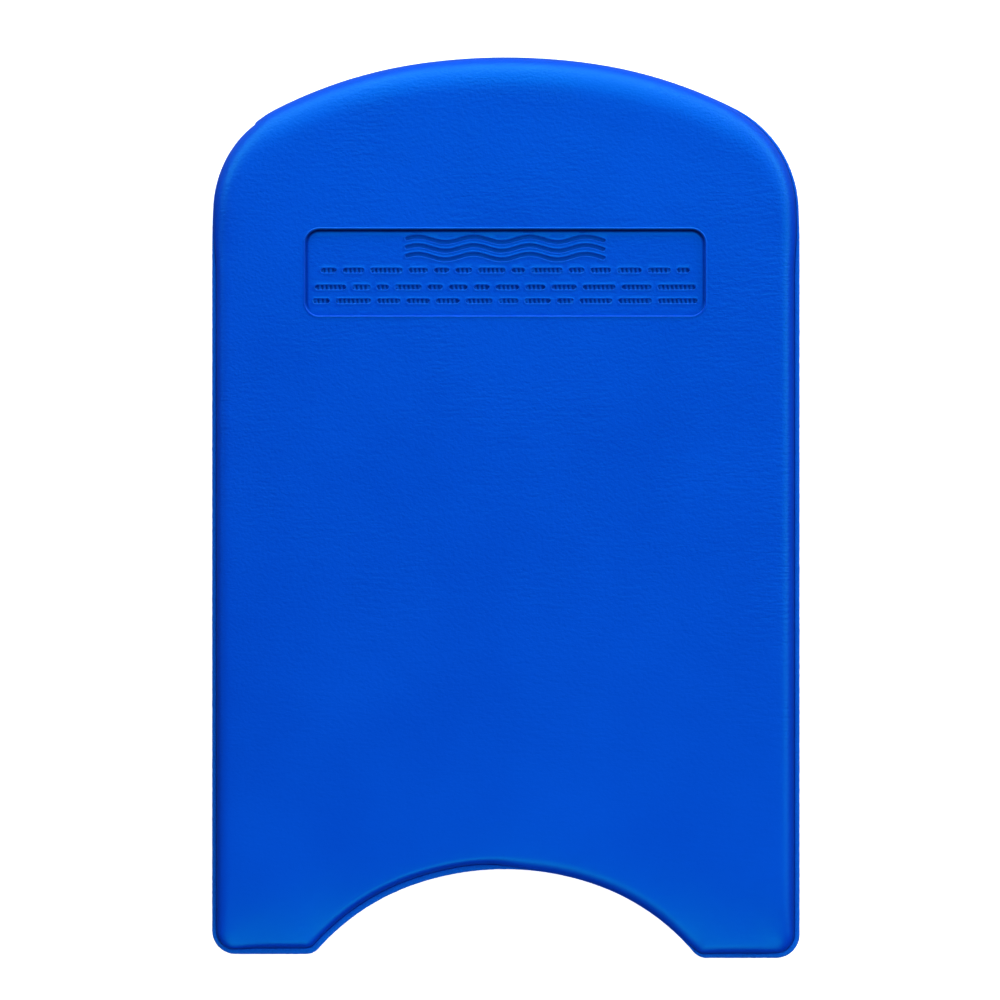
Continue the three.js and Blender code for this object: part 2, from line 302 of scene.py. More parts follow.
def distance_along(points):
    """How far along the closed outline each point is, and the outline's whole length."""
    steps = np.linalg.norm(np.roll(points, -1, axis=0) - points, axis=1)
    return np.concatenate([[0], np.cumsum(steps)[:-1]]), steps.sum()


def smoothed(values, points, reach):
    """Values along a closed outline, averaged with a bell-shaped weight that is reach wide."""
    along, total = distance_along(points)
    apart = np.abs(along[:, None] - along[None, :])
    apart = np.minimum(apart, total - apart)
    weight = np.exp(-0.5 * (apart / (reach / 2)) ** 2)
    weight *= np.diff(along, append=total)[None, :]
    return (weight * values[None, :]).sum(axis=1) / weight.sum(axis=1)


def ripple(points, shortest, longest, seed):
    """A random smooth offset along a closed outline, mostly within 1 of 0, with waves of those lengths."""
    along, total = distance_along(points)
    random = np.random.default_rng(seed)
    waves = np.arange(max(1, int(total / longest)), int(total / shortest))
    heights = random.normal(size=len(waves))
    phases = random.uniform(0, 2 * math.pi, len(waves))
    turns = 2 * math.pi * along[:, None] / total * waves[None, :] + phases[None, :]
    usual_peak = 1.5
    return (heights * np.sin(turns)).sum(axis=1) / math.sqrt(len(waves)) / usual_peak


# ---- Distances on the face ------------------------------------------------------------------------------

def distance_to_lines(points, starts, ends):
    """How far each point is from the nearest of some straight lines."""
    best = np.full(len(points), np.inf)
    for start, end in zip(starts, ends):
        step = end - start
        share = np.clip((points - start) @ step / (step @ step), 0, 1)
        best = np.minimum(best, np.linalg.norm(points - start - share[:, None] * step, axis=1))
    return best


def distance_to_ring(points, ring):
    """How far each point is from the nearest point of a dense closed outline."""
    best = np.full(len(points), np.inf)
    chunk_size = 2000
    for chunk in np.array_split(np.arange(len(points)), max(1, len(points) // chunk_size)):
        apart = points[chunk, None, :] - ring[None, :, :]
        best[chunk] = np.sqrt((apart ** 2).sum(axis=2).min(axis=1))
    return best


def inside_outline(points, ring):
    """Which points are inside a closed outline."""
    inside = np.zeros(len(points), bool)
    for (x1, y1), (x2, y2) in zip(ring, np.roll(ring, -1, axis=0)):
        if y1 != y2:
            crosses = (points[:, 1] > y1) != (points[:, 1] > y2)
            inside ^= crosses & (points[:, 0] < x1 + (x2 - x1) * (points[:, 1] - y1) / (y2 - y1))
    return inside


def panel_distance(points):
    """How far each point is outside the panel's outline. It is negative inside."""
    half = np.array(PANEL_SIZE) / 2 - PANEL_RADIUS
    beyond = np.abs(points - PANEL_CENTRE) - half
    outside = np.linalg.norm(np.maximum(beyond, 0), axis=1)
    return outside + np.minimum(beyond.max(axis=1), 0) - PANEL_RADIUS


def mark_distance(points, strokes):
    """How far each point is outside the nearest mark. It is negative inside, and infinite far from any."""
    best = np.full(len(points), np.inf)
    for path, half_width in strokes:
        margin = half_width + MARK_REACH
        low, high = path.min(axis=0) - margin, path.max(axis=0) + margin
        near = np.flatnonzero(((points > low) & (points < high)).all(axis=1))
        best[near] = np.minimum(best[near], distance_to_lines(points[near], path[:-1], path[1:]) - half_width)
    return best


# ---- Marks ----------------------------------------------------------------------------------------------

def wave_path(centre_y):
    steps = int(WAVE_LENGTH / WAVE_STEP)
    share = np.linspace(0, 1, steps + 1)
    turns = 2 * math.pi * (WAVE_PERIODS * share + WAVE_START)
    along = PANEL_CENTRE[0] + WAVE_LENGTH * (share - 0.5)
    return np.stack([along, centre_y + WAVE_SWING * np.sin(turns)], axis=1)


def bar_paths(y, row_length, row_index):
    """The middle lines of a row's bars, which are of mixed lengths and fill the row from end to end."""
    lengths = []
    used = -BAR_GAP
    mix = BAR_MIX_START + BAR_MIX_ROW * row_index
    while used + BAR_GAP + BAR_SHORTEST < row_length:
        mix = (mix * BAR_MIX_FACTOR + BAR_MIX_SHIFT) % 1
        length = BAR_SHORTEST + (BAR_LONGEST - BAR_SHORTEST) * mix
        lengths.append(length)
        used += length + BAR_GAP
    gaps = BAR_GAP * (len(lengths) - 1)
    fit = (row_length - gaps) / (used - gaps)
    paths = []
    x = PANEL_CENTRE[0] - row_length / 2
    for length in lengths:
        ends = (x + BAR_HEIGHT / 2, x + length * fit - BAR_HEIGHT / 2)
        paths.append(np.array([[ends[0], y], [ends[1], y]]))
        x += length * fit + BAR_GAP
    return paths


def mark_strokes():
    """Every mark as (middle line, half width). A bar's middle line has two points, and a wave's has more."""
    strokes = [(wave_path(y), WAVE_WIDTH / 2) for y in WAVE_ROWS]
    for index, (y, length) in enumerate(BAR_ROWS):
        strokes += [(path, BAR_HEIGHT / 2) for path in bar_paths(y, length, index)]
    return strokes


# ---- The face's height ----------------------------------------------------------------------------------

def smooth_step(value, low, high):
    share = np.clip((value - low) / (high - low), 0, 1)
    return share * share * (3 - 2 * share)


def sink(points):
    """How far the face has sunk at each point."""
    ring, names = outline()
    following = np.roll(ring, -1, axis=0)
    total = np.zeros(len(points))
    for kind, (depth, reach) in SINK.items():
        of_kind = np.array([name.endswith(kind) for name in names])
        low, high = ring[of_kind].min(axis=0) - reach, ring[of_kind].max(axis=0) + reach
        near = np.flatnonzero(((points > low) & (points < high)).all(axis=1))
        apart = distance_to_lines(points[near], ring[of_kind], following[of_kind])
        total[near] += depth * np.clip(1 - apart / reach, 0, 1) ** 3
    return total


def swell(points, seed):
    """A faint unevenness of the moulded face, from 0 down to twice its depth."""
    random = np.random.default_rng(seed)
    total = np.zeros(len(points))
    for _ in range(SWELL_WAVES):
        length = random.uniform(*SWELL_LENGTHS) * MM
        heading = random.uniform(0, math.pi)
        phase = random.uniform(0, 2 * math.pi)
        across = points @ np.array([math.cos(heading), math.sin(heading)])
        total += np.sin(2 * math.pi * across / length + phase)
    return SWELL_DEPTH * (np.clip(total / SWELL_PEAK, -1, 1) - 1)


def ridge(distance, crest, half, full=1):
    """A rounded ridge: 0 from half its width away, and 1 from that share of the way to its crest."""
    return smooth_step(1 - np.abs(distance - crest) / half, 0, full)


def fold_and_shade_share(points):
    """How deep the fold at the foot of the panel's wall is, and how much shade is painted in it: deepest
    towards the nose, none at the rear.
    """
    step = np.array([0, SLOPE_STEP])
    facing = (panel_distance(points + step) - panel_distance(points - step)) / (2 * SLOPE_STEP)
    return (FOLD_AT_SIDES + FOLD_GAIN * facing) * (facing > FOLD_END)


def panel_relief(points, strokes):
    """How far the panel, the beads and the marks stand out of the front face, and how much shade is painted
    there.
    """
    panel = panel_distance(points)
    marks = mark_distance(points, strokes)
    fold_and_shade = fold_and_shade_share(points)
    in_bars = points[:, 1] < (WAVE_ROWS[-1] + BAR_ROWS[0][0]) / 2
    hatch = np.cos(2 * math.pi * (points[:, 0] - HATCH_SLANT * points[:, 1]) / HATCH_PITCH)
    pressed = 1 - smooth_step(marks, *MARK_WALL)
    foot = ridge(panel, PANEL_FOOT, PANEL_FOOT_HALF)
    heights = PANEL_BEAD_RISE * ridge(panel, PANEL_BEAD, PANEL_BEAD_HALF) - PANEL_FOOT_DEPTH * fold_and_shade * foot
    heights -= PANEL_DEPTH * (1 - smooth_step(panel, *PANEL_WALL))
    heights += MARK_BEAD_RISE * ridge(marks, MARK_BEAD, MARK_BEAD_HALF)
    heights -= pressed * np.where(in_bars, MARK_DEPTH + HATCH_DEPTH * hatch, MARK_DEPTH)
    # Painted shade: a darker colour in the marks' hollows, deepest in the troughs between the ribs, and along
    # the fold at the panel's foot, where shade falls.
    painted_shade_in_marks = pressed * np.where(in_bars, BAR_PAINTED_SHADE * (1 + hatch) / 2, WAVE_PAINTED_SHADE)
    painted_shade_in_fold = fold_and_shade * ridge(panel, PANEL_PAINTED_SHADE, PANEL_PAINTED_SHADE_HALF, PANEL_PAINTED_SHADE_FULL)
    return heights, np.maximum(painted_shade_in_marks, painted_shade_in_fold)


def no_relief(points):
    return np.zeros(len(points)), 0


# ---- Points inside the faces ----------------------------------------------------------------------------

def grid(low, high, step):
    columns = np.arange(low[0], high[0], step)
    rows = np.arange(low[1], high[1], step)
    return np.stack(np.meshgrid(columns, rows), axis=-1).reshape(-1, 2)


def plain_points(rim):
    """The points inside a plain face: a coarse grid that keeps clear of its rim."""
    points = grid(rim.min(axis=0), rim.max(axis=0), FACE_STEP)
    points = points[inside_outline(points, rim)]
    return points[distance_to_ring(points, rim) > FACE_MARGIN]


def panel_ring(offset):
    """Points round the panel at that distance outside its outline."""
    half = np.array(PANEL_SIZE) / 2 - PANEL_RADIUS
    radius = PANEL_RADIUS + offset
    corners = [arc(PANEL_CENTRE + half * (sx, sy), radius, start, start - 90, PANEL_CORNER_POINTS)
               for sx, sy, start in ((1, 1, 90), (-1, 1, 0), (-1, -1, -90), (1, -1, -180))]
    ring = []
    for index, corner in enumerate(corners):
        following = corners[(index + 1) % 4][0]
        count = round(np.linalg.norm(following - corner[-1]) / PANEL_STEP)
        ring += [corner, np.linspace(corner[-1], following, count + 1)[1:-1]]
    return np.concatenate(ring)


def stroke_ring(path, radius):
    """Points round an open path at that distance from it."""
    if len(path) == 2:
        count = max(2, round(np.linalg.norm(path[1] - path[0]) / MARK_STEP))
        path = np.linspace(path[0], path[1], count + 1)
    along = np.gradient(path, axis=0)
    along /= np.linalg.norm(along, axis=1, keepdims=True)
    left = np.stack([-along[:, 1], along[:, 0]], axis=1)
    cap_points = max(3, round(math.pi * radius / MARK_STEP))
    turn = np.linspace(0, math.pi, cap_points + 1)[1:-1, None]
    end_cap = path[-1] + radius * (np.sin(turn) * along[-1] + np.cos(turn) * left[-1])
    start_cap = path[0] + radius * (-np.sin(turn) * along[0] - np.cos(turn) * left[0])
    return np.concatenate([path + radius * left, end_cap, path[::-1] - radius * left[::-1], start_cap])


def hatch_points(path, half_width):
    """Points inside one bar that follow its slanting ribs."""
    (left, y), (right, _) = path
    rows = np.linspace(-0.5, 0.5, HATCH_ROWS) * (half_width - HATCH_ROW_INSET) * 2 + y
    first = math.ceil(left / HATCH_PITCH * POINTS_TO_A_RIB) - POINTS_TO_A_RIB
    last = first + (right - left) / HATCH_PITCH * POINTS_TO_A_RIB + 2 * POINTS_TO_A_RIB
    columns = np.arange(first, last) * HATCH_PITCH / POINTS_TO_A_RIB
    points = np.array([(x + HATCH_SLANT * row, row) for row in rows for x in columns])
    near = distance_to_lines(points, path[:1], path[1:]) < half_width - HATCH_INSET
    return points[near]


def marked_points(rim, strokes):
    """The points inside the marked face: a coarse grid, a finer one in the panel, and rings on each edge."""
    coarse = plain_points(rim)
    coarse = coarse[panel_distance(coarse) > COARSE_TO_PANEL]
    half = np.array(PANEL_SIZE) / 2
    fine = grid(PANEL_CENTRE - half, PANEL_CENTRE + half, PANEL_STEP)
    fine = fine[panel_distance(fine) < -FINE_TO_PANEL]
    fine = fine[mark_distance(fine, strokes) > FINE_TO_MARK]
    rings = [panel_ring(offset * MM) for offset in PANEL_RINGS]
    for path, half_width in strokes:
        rings += [stroke_ring(path, half_width + offset * MM) for offset in MARK_RINGS]
        if len(path) == 2:
            rings.append(hatch_points(path, half_width))
    return np.concatenate([coarse, fine, *rings])


# ---- Meshes ---------------------------------------------------------------------------------------------

class Shell:
    """Collects a piece's points and faces.

    Each point has a share of painted shade, a darker colour painted where shade falls in creases and hollows,
    and each face a material's number.
    """

    def __init__(self):
        self.points = []
        self.creases = []
        self.faces = []
        self.materials = []

    def add_points(self, points, painted_shade=0):
        start = len(self.points)
        self.points.extend(points)
        self.creases.extend(np.broadcast_to(painted_shade, (len(points),)).tolist())
        return range(start, len(self.points))

    def add_face(self, face, material=MOULDED):
        self.faces.append(tuple(face))
        self.materials.append(material)

    def wall(self, lower, upper, material=MOULDED):
        """The band between two rings in step. It faces outwards where upper is above lower."""
        count = len(lower)
        for i in range(count):
            j = (i + 1) % count
            self.add_face((lower[i], lower[j], upper[j], upper[i]), material)

    def fill(self, ring, inner_points, heights, creases):
        """The face inside a ring, through more points inside it."""
        border = [self.points[i][:2] for i in ring]
        inner = self.add_points(np.column_stack([inner_points, heights]), creases)
        numbers = list(ring) + list(inner)
        flat = [Vector(p) for p in border] + [Vector(p) for p in inner_points]
        loop = [(i, (i + 1) % len(border)) for i in range(len(border))]
        inside_only, merge_distance = 1, 1e-7
        _, _, triangles, origins, _, _ = delaunay_2d_cdt(flat, loop, [], inside_only, merge_distance)
        for triangle in triangles:
            self.add_face(numbers[origins[i][0]] for i in triangle)


def ring_at(points, height):
    heights = np.broadcast_to(height, (len(points),))
    return np.column_stack([points, heights])


def trim_step(points):
    """How far the small step in the trim lies inside each point of the outline."""
    along, _ = distance_along(points)
    start = along[np.argmin(np.linalg.norm(points - TRIM_STEP_PLACE, axis=1))]
    beyond = np.maximum(along - start, 0)
    return TRIM_STEP * smooth_step(beyond, 0, TRIM_STEP_LENGTH) * np.exp(-beyond / TRIM_FADE)


def trimmed_edge():
    """The lip's trimmed edge, the foot of the wall inside it, its normals and each point's stretch."""
    edge, names = outline()
    inwards = inward_normals(edge)
    step = trim_step(edge)
    width = smoothed(np.array([LIP_WIDTH[name] for name in names]), edge, LIP_BLEND)
    foot = edge + inwards * (width + smoothed(step, edge, STEP_BLEND))[:, None]
    return edge + inwards * step[:, None], foot, inwards, names


def lip_rings(edge, foot, inwards, seed):
    """The lip, the groove and the foot of the wall, as rings of (points, material, share of painted shade).
    """
    width = np.linalg.norm(foot - edge, axis=1)
    groove = np.minimum(width / GROOVE_FULL, 1)
    rings = []
    for number, (share, height) in enumerate(LIP_ROWS):
        wander = LIP_WANDER * groove * ripple(edge, *LIP_WAVES, seed + number)
        rings.append((ring_at(edge + inwards * (share * width + wander)[:, None], height), CUT, 0))
    for share, depth, painted_shade in GROOVE_ROWS:
        points = edge + inwards * (share * width)[:, None]
        rings.append((ring_at(points, LIP_TOP - depth * groove), CUT, painted_shade * groove))
    rings.append((ring_at(foot, LIP_TOP - GROOVE_DEPTH * groove), CUT, GROOVE_PAINTED_SHADE * groove))
    for rise, material, painted_shade in WALL_ROWS:
        rings.append((ring_at(foot, LIP_TOP + rise), material, painted_shade * groove))
    return rings


def face_rim():
    """Where the edge's curl ends and the face starts."""
    rim, _ = outline(
        nose=LIP_WIDTH["nose"] + NOSE_RIM,
        left=LIP_WIDTH["left side"] + CURL["side"],
        right=LIP_WIDTH["right side"] + CURL["side"],
        rear=LIP_WIDTH["left leg"] + CURL["rear"],
        outer=RIM_OUTER_CORNER, inner=RIM_INNER_CORNER,
    )
    return rim


def curl_rings(edge, foot, rim, names):
    """The moulded wall and its curl over to the rim, as rings like the lip's."""
    fullness = [CURL_FULLNESS.get(name, CURL_FULLNESS.get(name.split()[-1])) for name in names]
    fullness = smoothed(np.array(fullness), edge, LIP_BLEND)
    rings = []
    for step in range(CURL_STEPS + 1):
        angle = math.pi / 2 * step / CURL_STEPS
        plan = foot + (rim - foot) * (1 - math.cos(angle) ** (2 / fullness))[:, None]
        rise = math.sin(angle) ** (2 / fullness)
        height = CURL_BOTTOM + (FACE_RISE - CURL_BOTTOM) * rise - sink(plan) * rise ** 2
        rings.append((ring_at(plan, height), MOULDED, 0))
    return rings


def hollow_ring(curl_share):
    """The hollow's outline, moved in by a share of the edge's curl."""
    side = HOLLOW_SIDE + curl_share * CURL["side"]
    points, _ = outline(
        nose=HOLLOW_NOSE + curl_share * CURL["nose"], left=side, right=side,
        rear=HOLLOW_REAR + curl_share * CURL["rear"],
        outer=HOLLOW_OUTER_CORNER, inner=HOLLOW_INNER_CORNER,
    )
    return points


def add_hollow(shell, base):
    """The hollow for the core, joined to the ring at the skin's base."""
    rings = [shell.add_points(ring_at(hollow_ring(0), GLUE_GAP / 2))]
    for step in range(HOLLOW_STEPS + 1):
        angle = math.pi / 2 * step / HOLLOW_STEPS
        height = CURL_BOTTOM + (HOLLOW_RISE - CURL_BOTTOM) * math.sin(angle)
        rings.append(shell.add_points(ring_at(hollow_ring(1 - math.cos(angle)), height)))
    shell.wall(rings[0], base)
    for lower, upper in zip(rings[:-1], rings[1:]):
        shell.wall(upper, lower)
    shell.add_face(reversed(rings[-1]))


def skin_shell(seed, face_points, relief):
    """One skin, drawn as the front one with its heights above the parting line."""
    shell = Shell()
    edge, foot, inwards, names = trimmed_edge()
    rim = face_rim()
    rings = lip_rings(edge, foot, inwards, seed) + curl_rings(edge, foot, rim, names)
    numbers = [shell.add_points(points, painted_shade) for points, _, painted_shade in rings]
    for lower, upper, (_, material, _) in zip(numbers[:-1], numbers[1:], rings[1:]):
        shell.wall(lower, upper, material)
    inner = face_points(rim)
    level = swell(inner, seed) * smooth_step(distance_to_ring(inner, rim), 0, SWELL_FADE)
    # The relief gives each point's height and its share of painted shade.
    heights, creases = relief(inner)
    shell.fill(numbers[-1], inner, FACE_RISE - sink(inner) + level + heights, creases)
    add_hollow(shell, numbers[0])
    return shell


def make_piece(name, shell, turned_over, materials):
    points = np.array(shell.points)
    faces = shell.faces
    if turned_over:
        points = points * (1, 1, -1)
        faces = [tuple(reversed(face)) for face in faces]
    points = points + (0, 0, PARTING_Z)
    mesh = bpy.data.meshes.new(name)
    mesh.from_pydata(points.tolist(), [], faces)
    for material in materials:
        mesh.materials.append(material)
    mesh.polygons.foreach_set("material_index", shell.materials)
    # Each point's share of painted shade goes on the mesh, for the materials to darken their colour by.
    mesh.attributes.new("painted_shade", "FLOAT", "POINT").data.foreach_set("value", shell.creases)
    mesh.polygons.foreach_set("use_smooth", [True] * len(mesh.polygons))
    mesh.validate()
    piece = bpy.data.objects.new(name, mesh)
    bpy.context.scene.collection.objects.link(piece)
    return piece


# ---- Shader nodes ---------------------------------------------------------------------------------------

def shader(name):
    """A new material, its node tree and its Principled shader."""
    material = bpy.data.materials.new(name)
    material.use_nodes = True
    return material, material.node_tree, material.node_tree.nodes["Principled BSDF"]


def add(tree, kind, settings=None, **values):
    node = tree.nodes.new(kind)
    for key, value in (settings or {}).items():
        setattr(node, key, value)
    for key, value in values.items():
        node.inputs[key.replace("_", " ")].default_value = value
    return node


def axes_of(tree, coordinates):
    """The X, Y and Z of the object's own coordinates, or of another kind of texture coordinates."""
    source = add(tree, "ShaderNodeTexCoord")
    axes = add(tree, "ShaderNodeSeparateXYZ")
    tree.links.new(source.outputs[coordinates], axes.inputs["Vector"])
    return axes.outputs["X"], axes.outputs["Y"], axes.outputs["Z"]


def noise(tree, scale, detail, roughness=0.5):
    """Noise in the object's own coordinates, with that many cells to a metre along X, Y and Z."""
    coordinates = add(tree, "ShaderNodeTexCoord")
    mapping = add(tree, "ShaderNodeMapping", Scale=scale)
    node = add(tree, "ShaderNodeTexNoise", Scale=1.0, Detail=detail, Roughness=roughness)
    tree.links.new(coordinates.outputs["Object"], mapping.inputs["Vector"])
    tree.links.new(mapping.outputs["Vector"], node.inputs["Vector"])
    return node.outputs[0]


def ramp(tree, value, low, high, to_low, to_high):
    node = add(tree, "ShaderNodeMapRange", {"clamp": True})
    tree.links.new(value, node.inputs["Value"])
    for key, number in (("From Min", low), ("From Max", high), ("To Min", to_low), ("To Max", to_high)):
        node.inputs[key].default_value = number
    return node.outputs["Result"]


def mixed(tree, share, first, second):
    """A mix of two colours. The first may come from another node."""
    node = add(tree, "ShaderNodeMix", {"data_type": "RGBA"})
    tree.links.new(share, node.inputs["Factor"])
    colours = [socket for socket in node.inputs if socket.type == "RGBA"]
    if isinstance(first, tuple):
        colours[0].default_value = (*first, 1)
    else:
        tree.links.new(first, colours[0])
    colours[1].default_value = (*second, 1)
    return [socket for socket in node.outputs if socket.type == "RGBA"][0]


def maths(tree, operation, first, second):
    node = add(tree, "ShaderNodeMath", {"operation": operation})
    for index, value in enumerate((first, second)):
        if isinstance(value, (int, float)):
            node.inputs[index].default_value = value
        else:
            tree.links.new(value, node.inputs[index])
    return node.outputs["Value"]


def multiplied(tree, first, *others):
    for value in others:
        first = maths(tree, "MULTIPLY", first, value)
    return first


def bumped(tree, height, distance, strength, under=None):
    node = add(tree, "ShaderNodeBump", Strength=strength, Distance=distance)
    tree.links.new(height, node.inputs["Height"])
    if under is not None:
        tree.links.new(under, node.inputs["Normal"])
    return node.outputs["Normal"]


# Each point's share of painted shade: how much darker its colour is painted, where shade falls in creases and
# hollows.
def painted_shade_share(tree):
    return add(tree, "ShaderNodeAttribute", {"attribute_name": "painted_shade"}).outputs["Fac"]


# ---- Materials ------------------------------------------------------------------------------------------

# Each foam's colour wanders between two blues, and the skins' foams have shade painted into their creases and
# hollows:
# a darker blue, mixed in by each point's share of painted shade.
MOULDED_BLUES, MOULDED_PAINTED_SHADE = ((0.0004, 0.0385, 0.585), (0.0004, 0.0415, 0.62)), (0, 0.001, 0.2)
CUT_BLUES, CUT_PAINTED_SHADE = ((0.003, 0.11, 0.66), (0.005, 0.15, 0.8)), (0.0001, 0.01, 0.3)
CORE_BLUES = ((0.01, 0.09, 0.5), (0.012, 0.12, 0.6))

# Noise, as (cells to a metre along X, Y and Z, detail), and its roughness where it isn't the usual one.
GRAIN, FINE_CREASES = ((620, 760, 620), 1.5), ((140, 620, 140), 2)
PATCHES, MOTTLE = ((22, 30, 22), 2), ((18, 18, 18), 4)
CUT_CELLS, CORE_CELLS = ((1300, 1300, 1300), 3, 0.7), ((900, 900, 900), 3, 0.6)

# The middle range of noise, which the colours and the roughness wander over.
MIDDLE, CELL_MIDDLE = (0.3, 0.7), (0.35, 0.65)

# Bumps, as (depth, strength).
GRAIN_BUMP, CREASE_BUMP, CELL_BUMP = (0.32 * MM, 0.55), (0.4 * MM, 0.43), (0.2 * MM, 0.6)

# The moulded face's fine creases come in patches, from few to many as the patches' noise rises.
PATCH_RISE, PATCH_SHARES = (0.42, 0.62), (0.1, 1)

# The face is smoother on the legs, and creased most near its right side.
SMOOTH_REAR, SMOOTH_SHARE = (-0.17, -0.04), 0.4
CREASED_SIDE, CREASED_SHARE = (0.1, 0.135), 0.7

# The walls carry few of the creases, below those heights off the parting line.
WALL_TOP, WALL_SHARE = (0.011, 0.017), 0.15

MOULDED_ROUGHNESS, CREASE_ROUGHNESS = (0.43, 0.49), 0.5
CUT_ROUGHNESS, CORE_ROUGHNESS = (0.7, 0.9), (0.8, 0.95)


def moulded_foam():
    """Satin closed-cell foam: a fine pebbled grain, with creases across the board in patches."""
    material, tree, principled = shader("moulded_foam")
    across, along, height = axes_of(tree, "Object")
    off_middle = maths(tree, "ABSOLUTE", maths(tree, "SUBTRACT", height, PARTING_Z), 0)
    on_face = ramp(tree, off_middle, *WALL_TOP, WALL_SHARE, 1)
    patches = ramp(tree, noise(tree, *PATCHES), *PATCH_RISE, *PATCH_SHARES)
    patches = maths(tree, "ADD", patches, ramp(tree, across, *CREASED_SIDE, 0, CREASED_SHARE))
    worn = ramp(tree, along, *SMOOTH_REAR, SMOOTH_SHARE, 1)
    creases = multiplied(tree, noise(tree, *FINE_CREASES), patches, worn, on_face)
    grain = multiplied(tree, noise(tree, *GRAIN), worn)
    normal = bumped(tree, grain, *GRAIN_BUMP, bumped(tree, creases, *CREASE_BUMP))
    tree.links.new(normal, principled.inputs["Normal"])
    mottle = noise(tree, *MOTTLE)
    painted_shade = painted_shade_share(tree)
    colour = mixed(tree, ramp(tree, mottle, *MIDDLE, 0, 1), *MOULDED_BLUES)
    # Painted shade: the darker blue where shade falls in the creases and hollows.
    tree.links.new(mixed(tree, painted_shade, colour, MOULDED_PAINTED_SHADE), principled.inputs["Base Color"])
    roughness = ramp(tree, mottle, *MIDDLE, *MOULDED_ROUGHNESS)
    roughness = maths(tree, "ADD", roughness, maths(tree, "MULTIPLY", painted_shade, CREASE_ROUGHNESS))
    tree.links.new(roughness, principled.inputs["Roughness"])
    principled.inputs["Specular Tint"].default_value = (0, 0.8, 1, 1)
    principled.inputs["Specular IOR Level"].default_value = 0.95
    return material


def open_foam(name, cell_noise, blues, roughness):
    """Foam cut through its cells, rough and matt: the material, its tree, its shader and its colour."""
    material, tree, principled = shader(name)
    cells = noise(tree, *cell_noise)
    tree.links.new(bumped(tree, cells, *CELL_BUMP), principled.inputs["Normal"])
    tree.links.new(ramp(tree, cells, *MIDDLE, *roughness), principled.inputs["Roughness"])
    return material, tree, principled, mixed(tree, ramp(tree, cells, *CELL_MIDDLE, 0, 1), *blues)


def cut_foam():
    """The trimmed edge of the lip."""
    material, tree, principled, colour = open_foam("cut_foam", CUT_CELLS, CUT_BLUES, CUT_ROUGHNESS)
    # Painted shade: the darker blue where shade falls in the groove and at the foot of the wall.
    tree.links.new(mixed(tree, painted_shade_share(tree), colour, CUT_PAINTED_SHADE), principled.inputs["Base Color"])
    principled.inputs["Specular IOR Level"].default_value = 0
    return material


def core_foam():
    """The buoyant slabs inside."""
    material, tree, principled, colour = open_foam("core_foam", CORE_CELLS, CORE_BLUES, CORE_ROUGHNESS)
    tree.links.new(colour, principled.inputs["Base Color"])
    return material


def studio_floor():
    material, _, principled = shader("studio_floor")
    principled.inputs["Base Color"].default_value = (0.9, 0.9, 0.9, 1)
    principled.inputs["Roughness"].default_value = 0.9
    principled.inputs["Emission Color"].default_value = (1, 1, 1, 1)
    principled.inputs["Emission Strength"].default_value = 0.7
    return material


# ---- The board ------------------------------------------------------------------------------------------

FRONT_SEED, BACK_SEED = 100, 200

skin_materials = [moulded_foam(), cut_foam()]
STROKES = mark_strokes()

front_shell = skin_shell(FRONT_SEED, lambda rim: marked_points(rim, STROKES),
                         lambda points: panel_relief(points, STROKES))
front = make_piece("front_skin_fine", front_shell, False, skin_materials)
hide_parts("front_skin")

back = make_piece("back_skin_fine", skin_shell(BACK_SEED, plain_points, no_relief), True, skin_materials)
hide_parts("back_skin")

for skin in (front, back):
    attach(skin, "root")

foam = core_foam()
for core in ("front_core", "back_core"):
    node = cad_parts[core]
    node.data.materials.clear()
    node.data.materials.append(foam)

# ---- Studio ---------------------------------------------------------------------------------------------

FLOOR_HALF = 12.0
FLOOR_DROP = 0.2 * MM

# The floor glows, so that it stays white, and the board neither mirrors it nor gets light from it.
floor_mesh = bpy.data.meshes.new("floor")
floor_mesh.from_pydata(
    [(-FLOOR_HALF, -FLOOR_HALF, 0), (FLOOR_HALF, -FLOOR_HALF, 0), (FLOOR_HALF, FLOOR_HALF, 0),
     (-FLOOR_HALF, FLOOR_HALF, 0)], [], [(0, 1, 2, 3)])
floor_mesh.materials.append(studio_floor())
floor = bpy.data.objects.new("floor", floor_mesh)
bpy.context.scene.collection.objects.link(floor)
floor.location.z = BACK_LOW[2] - FLOOR_DROP
floor.visible_diffuse = False
floor.visible_glossy = False

# The world is a dim sky, with a glow low down on the nose's side. The ramps run over the parts of a unit
# direction along Y and Z.
SKY_COLOUR = (0.5, 0.9, 1, 1)
SKY, GROUND_GLOW, NOSE_GLOW = 0.04, 0.02, 0.45
TOWARDS_NOSE, HORIZON = (0, 0.6), (-0.1, 0.3)

world = bpy.context.scene.world or bpy.data.worlds.new("studio")
bpy.context.scene.world = world
world.use_nodes = True
sky = world.node_tree
background = sky.nodes["Background"]
background.inputs["Color"].default_value = SKY_COLOUR
_, sky_y, sky_z = axes_of(sky, "Generated")
glow = ramp(sky, sky_y, *TOWARDS_NOSE, GROUND_GLOW - SKY, NOSE_GLOW - SKY)
strength = maths(sky, "ADD", multiplied(sky, glow, ramp(sky, sky_z, *HORIZON, 1, 0)), SKY)
sky.links.new(strength, background.inputs["Strength"])

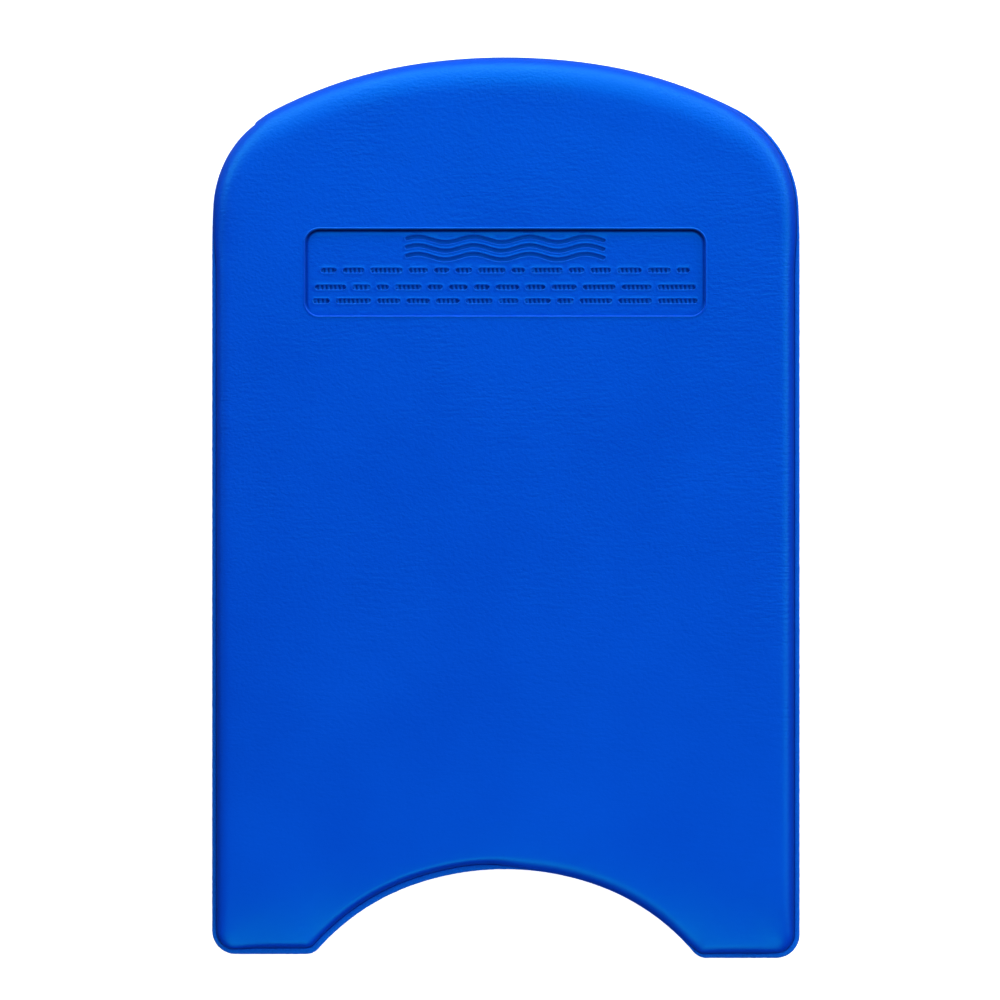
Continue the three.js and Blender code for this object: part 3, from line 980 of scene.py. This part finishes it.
# Soft lights, as (name, turn, tilt, reach, width, height, radiance). Turn and tilt are in degrees: tilt from
# straight up, and turn from +Y towards +X.
LAMPS = (
    ("overhead", 0, 20, 1.6, 0.9, 0.6, 1.4),
    ("nose_overhead", 0, 42, 1.5, 1.0, 0.6, 2.4),
    ("nose_middle", 0, 60, 1.2, 1.1, 0.4, 0.9),
    ("nose_strip", 0, 74, 0.95, 1.2, 0.3, 4.4),
    ("nose_low", 0, 85, 0.9, 1.2, 0.14, 0.8),
    ("right_low", 45, 86, 1.2, 0.8, 0.25, 0.9),
    ("left_low", -45, 86, 1.2, 0.8, 0.25, 0.5),
    ("right_overhead", 45, 42, 1.4, 0.8, 0.6, 0.63),
    ("right_shoulder", 55, 72, 1.8, 1.0, 0.5, 6.2),
    ("right_side", 90, 55, 1.8, 0.6, 1.4, 2.93),
    ("left_shoulder", -50, 68, 0.9, 0.5, 0.3, 4.5),
    ("left_side", -90, 60, 1.5, 0.5, 1.2, 0.375),
    ("rear_high", 180, 42, 0.7, 0.6, 0.2, 2.6),
    ("rear_low", 180, 58, 0.9, 0.6, 0.3, 3.1),
)


def softbox(name, turn, tilt, reach, width, height, radiance):
    """A soft light that faces the middle of the floor from that reach."""
    up = Vector((math.sin(math.radians(turn)) * math.sin(math.radians(tilt)),
                 math.cos(math.radians(turn)) * math.sin(math.radians(tilt)), math.cos(math.radians(tilt))))
    data = bpy.data.lights.new(name, "AREA")
    data.shape = "RECTANGLE"
    data.size, data.size_y = width, height
    data.energy = radiance * width * height * math.pi  # in watts
    lamp = bpy.data.objects.new(name, data)
    lamp.location = up * reach
    lamp.rotation_mode = "QUATERNION"
    lamp.rotation_quaternion = up.to_track_quat("Z", "Y")
    lamp.visible_camera = False
    bpy.context.scene.collection.objects.link(lamp)


for lamp in LAMPS:
    softbox(*lamp)

# ---- Camera ---------------------------------------------------------------------------------------------

# It looks straight down at the front face from far off, so that the face isn't shifted against the outline.
VIEW_WIDTH = 510.8 * MM  # what the picture's width covers at the parting line
AIM = (-3.0 * MM, 3.9 * MM)
LENS, SENSOR = 500, 36

camera_data = bpy.data.cameras.new("camera")
camera_data.lens = LENS
camera_data.sensor_width = SENSOR
camera_data.clip_end = 100
camera = bpy.data.objects.new("camera", camera_data)
camera.location = (*AIM, PARTING_Z + VIEW_WIDTH * LENS / SENSOR)
bpy.context.scene.collection.objects.link(camera)
bpy.context.scene.camera = camera
bpy.context.scene.view_settings.view_transform = "Standard"
